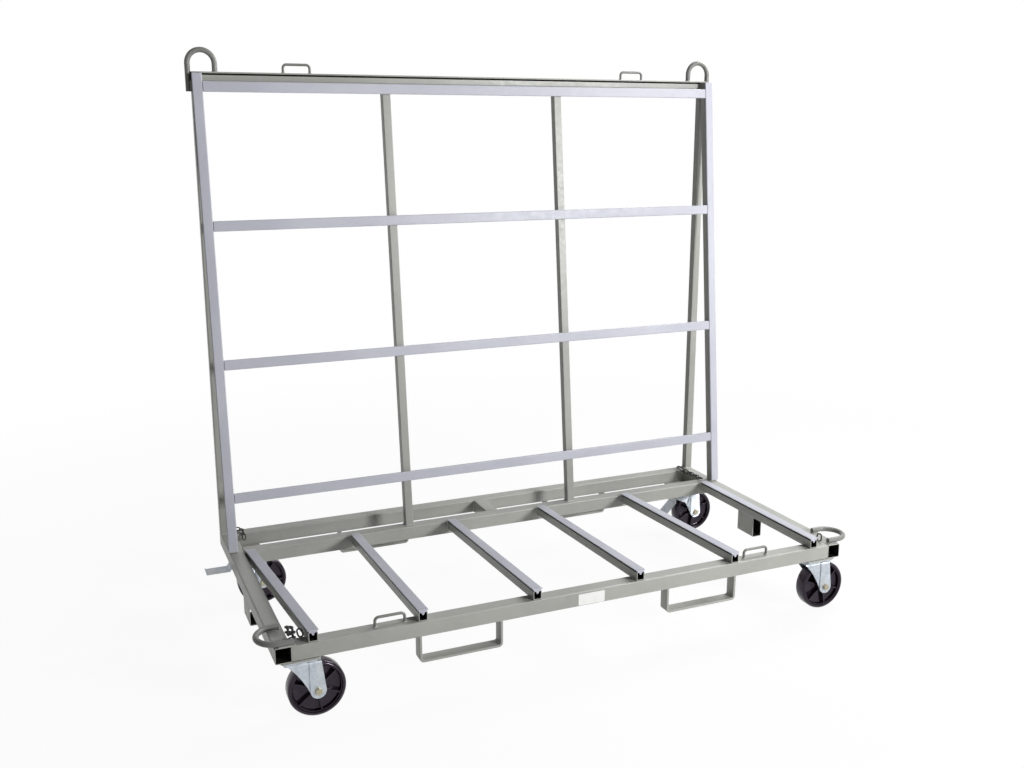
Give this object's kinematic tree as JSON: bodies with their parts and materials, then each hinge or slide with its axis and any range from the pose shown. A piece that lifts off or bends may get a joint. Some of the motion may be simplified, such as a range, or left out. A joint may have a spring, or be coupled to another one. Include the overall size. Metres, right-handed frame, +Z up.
{
  "type": "order picking trolley",
  "caption": "Wheeled tube-frame trolley with a leaning padded back and sloping padded deck strips for carrying upright panels.",
  "frame": {"origin": "centre of the footprint on the floor", "axes": "+X along the trolley, +Y from the open front to the back frame, +Z up"},
  "size_m": [2.133, 0.99, 1.9591],
  "materials": {
    "frame_paint": "satin powder coat",
    "buffer_grey": "smooth soft plastic",
    "zinc": "bright zinc plate",
    "wheel_black": "glossy moulded black",
    "yellow_zinc": "yellow passivated zinc",
    "chain_black": "blackened",
    "bush_bronze": "sintered"
  },
  "bodies": {
    "frame": {"caster_nuts": "zinc", "caster_plates": "zinc", "chain_fittings": "zinc", "chains": "chain_black", "corner_plates": "frame_paint", "deck_buffers": "buffer_grey", "deck_rail_1": "frame_paint", "deck_rail_2": "frame_paint", "deck_rail_3": "frame_paint", "deck_rail_4": "frame_paint", "deck_rail_5": "frame_paint", "deck_rail_6": "frame_paint", "front_beam": "frame_paint", "front_fork_loops": "frame_paint", "front_lifting_eyes": "frame_paint", "front_strap_handles": "frame_paint", "kingpins": "zinc", "left_mid_post": "frame_paint", "left_rear_leg": "frame_paint", "left_side_beam": "frame_paint", "left_upright": "frame_paint", "lower_rung": "frame_paint", "middle_beam": "frame_paint", "middle_rung": "frame_paint", "rear_beam": "frame_paint", "rear_fork_loops": "frame_paint", "rear_tie": "frame_paint", "right_mid_post": "frame_paint", "right_rear_leg": "frame_paint", "right_side_beam": "frame_paint", "right_upright": "frame_paint", "rung_buffers": "buffer_grey", "side_sockets": "frame_paint", "swivel_bearings": "zinc", "top_beam": "frame_paint", "top_lifting_eyes": "frame_paint", "top_rung": "frame_paint", "top_strap_handles": "frame_paint", "upper_rung": "frame_paint", "upright_buffers": "buffer_grey"},
    "front_left_fork": {"front_left_axle_bolt": "yellow_zinc", "front_left_fork": "zinc"},
    "front_left_wheel": {"front_left_wheel": "wheel_black", "front_left_wheel_bush": "bush_bronze"},
    "front_right_fork": {"front_right_axle_bolt": "yellow_zinc", "front_right_fork": "zinc"},
    "front_right_wheel": {"front_right_wheel": "wheel_black", "front_right_wheel_bush": "bush_bronze"},
    "rear_left_fork": {"rear_left_axle_bolt": "yellow_zinc", "rear_left_brake_pin": "yellow_zinc", "rear_left_fork": "zinc"},
    "rear_left_wheel": {"rear_left_wheel": "wheel_black", "rear_left_wheel_bush": "bush_bronze"},
    "rear_right_fork": {"rear_right_axle_bolt": "yellow_zinc", "rear_right_brake_pin": "yellow_zinc", "rear_right_fork": "zinc"},
    "rear_right_wheel": {"rear_right_wheel": "wheel_black", "rear_right_wheel_bush": "bush_bronze"},
    "rear_left_pedal": {"rear_left_brake_pedal": "zinc"},
    "rear_right_pedal": {"rear_right_brake_pedal": "zinc"}
  },
  "joints": [
    {"name": "front_left_swivel", "type": "hinge", "parent": "frame", "child": "front_left_fork", "pos_m": [-0.925, -0.425, 0.186], "axis": [0, 0, 1], "continuous": true},
    {"name": "front_left_roll", "type": "hinge", "parent": "front_left_fork", "child": "front_left_wheel", "pos_m": [-0.871, -0.425, 0.0875], "axis": [0, 1, 0], "continuous": true},
    {"name": "front_right_swivel", "type": "hinge", "parent": "frame", "child": "front_right_fork", "pos_m": [0.925, -0.425, 0.186], "axis": [0, 0, 1], "continuous": true},
    {"name": "front_right_roll", "type": "hinge", "parent": "front_right_fork", "child": "front_right_wheel", "pos_m": [0.979, -0.425, 0.0875], "axis": [0, 1, 0], "continuous": true},
    {"name": "rear_left_swivel", "type": "hinge", "parent": "frame", "child": "rear_left_fork", "pos_m": [-0.925, 0.425, 0.186], "axis": [0, 0, 1], "continuous": true},
    {"name": "rear_left_roll", "type": "hinge", "parent": "rear_left_fork", "child": "rear_left_wheel", "pos_m": [-0.871, 0.425, 0.0875], "axis": [0, 1, 0], "continuous": true},
    {"name": "rear_right_swivel", "type": "hinge", "parent": "frame", "child": "rear_right_fork", "pos_m": [0.925, 0.425, 0.186], "axis": [0, 0, 1], "continuous": true},
    {"name": "rear_right_roll", "type": "hinge", "parent": "rear_right_fork", "child": "rear_right_wheel", "pos_m": [0.979, 0.425, 0.0875], "axis": [0, 1, 0], "continuous": true},
    {"name": "rear_left_brake", "type": "hinge", "parent": "rear_left_fork", "child": "rear_left_pedal", "pos_m": [-0.967, 0.425, 0.165], "axis": [0, -1, 0], "range_deg": [0, 45]},
    {"name": "rear_right_brake", "type": "hinge", "parent": "rear_right_fork", "child": "rear_right_pedal", "pos_m": [0.883, 0.425, 0.165], "axis": [0, -1, 0], "range_deg": [-45, 0]}
  ]
}
